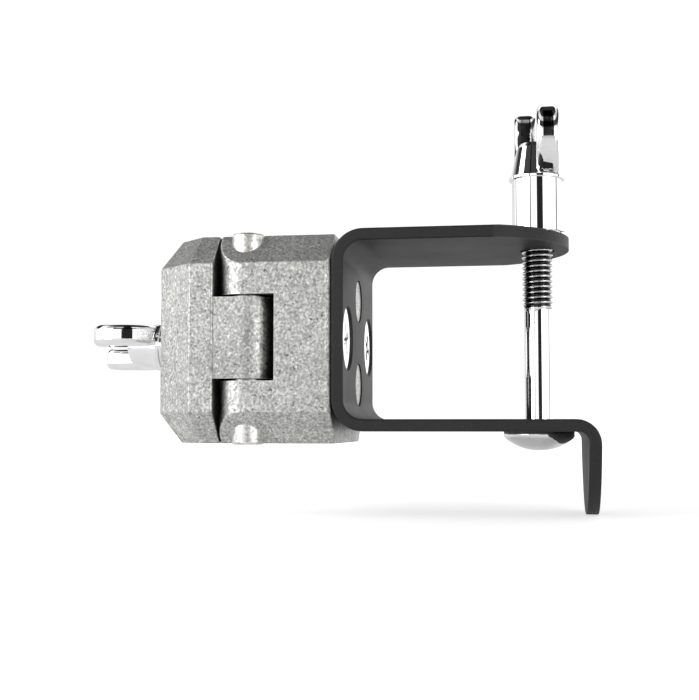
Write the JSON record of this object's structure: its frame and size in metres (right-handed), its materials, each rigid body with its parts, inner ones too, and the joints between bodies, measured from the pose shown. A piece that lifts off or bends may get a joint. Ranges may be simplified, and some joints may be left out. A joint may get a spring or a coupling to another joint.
{
  "type": "clamp bracket",
  "caption": "Bent steel rim bracket closed by a carriage bolt and wing nut, with a hinged cast clamp on its back that grips a round rod.",
  "frame": {"origin": "centre of the clamped rod, halfway along the rod bore", "axes": "+Z along the rod, towards the closing wing nut; +X from the rod clamp towards the open throat of the bracket; the clamp's hinge is on the -Y side"},
  "size_m": [0.1002, 0.0402, 0.0773],
  "materials": {
    "black_paint": "satin black powder coat",
    "cast_metal": "raw tumbled casting",
    "pin_steel": "bright ground",
    "bright_plating": "polished chrome plate"
  },
  "bodies": {
    "bracket_body": {"bracket": "black_paint", "clamp_base": "cast_metal", "hinge_pin": "pin_steel", "bracket_screws": "bright_plating", "rim_bolt": "bright_plating", "clamp_stud": "bright_plating"},
    "cap_body": {"clamp_cap": "cast_metal"},
    "clamp_washer_body": {"clamp_washer": "bright_plating"},
    "clamp_nut_body": {"clamp_wing_nut": "bright_plating"},
    "rim_washer_body": {"rim_washer": "bright_plating"},
    "rim_nut_body": {"rim_wing_nut": "bright_plating"}
  },
  "joints": [
    {"name": "cap_hinge", "type": "hinge", "parent": "bracket_body", "child": "cap_body", "pos_m": [0.00535, -0.0112, 0], "axis": [0, 0, 1], "range_deg": [0, 7.6]},
    {"name": "clamp_nut_travel", "type": "slide", "parent": "bracket_body", "child": "clamp_washer_body", "axis": [-1, 0, 0], "range_m": [0, 0.004]},
    {"name": "clamp_nut_turn", "type": "hinge", "parent": "clamp_washer_body", "child": "clamp_nut_body", "pos_m": [-0.01355, 0.0097, 0], "axis": [-1, 0, 0], "range_deg": [0, 1440]},
    {"name": "rim_nut_travel", "type": "slide", "parent": "bracket_body", "child": "rim_washer_body", "axis": [0, 0, 1], "range_m": [0, 0.008]},
    {"name": "rim_nut_turn", "type": "hinge", "parent": "rim_washer_body", "child": "rim_nut_body", "pos_m": [0.0584, 0.0037, 0.0207], "axis": [0, 0, 1], "range_deg": [0, 2880]}
  ],
  "couplings": [
    {"joint": "clamp_nut_travel", "follows": "clamp_nut_turn", "m_per_rad": 0.00015915},
    {"joint": "cap_hinge", "follows": "clamp_nut_turn", "ratio": 0.0052777},
    {"joint": "rim_nut_travel", "follows": "rim_nut_turn", "m_per_rad": 0.00015915}
  ]
}
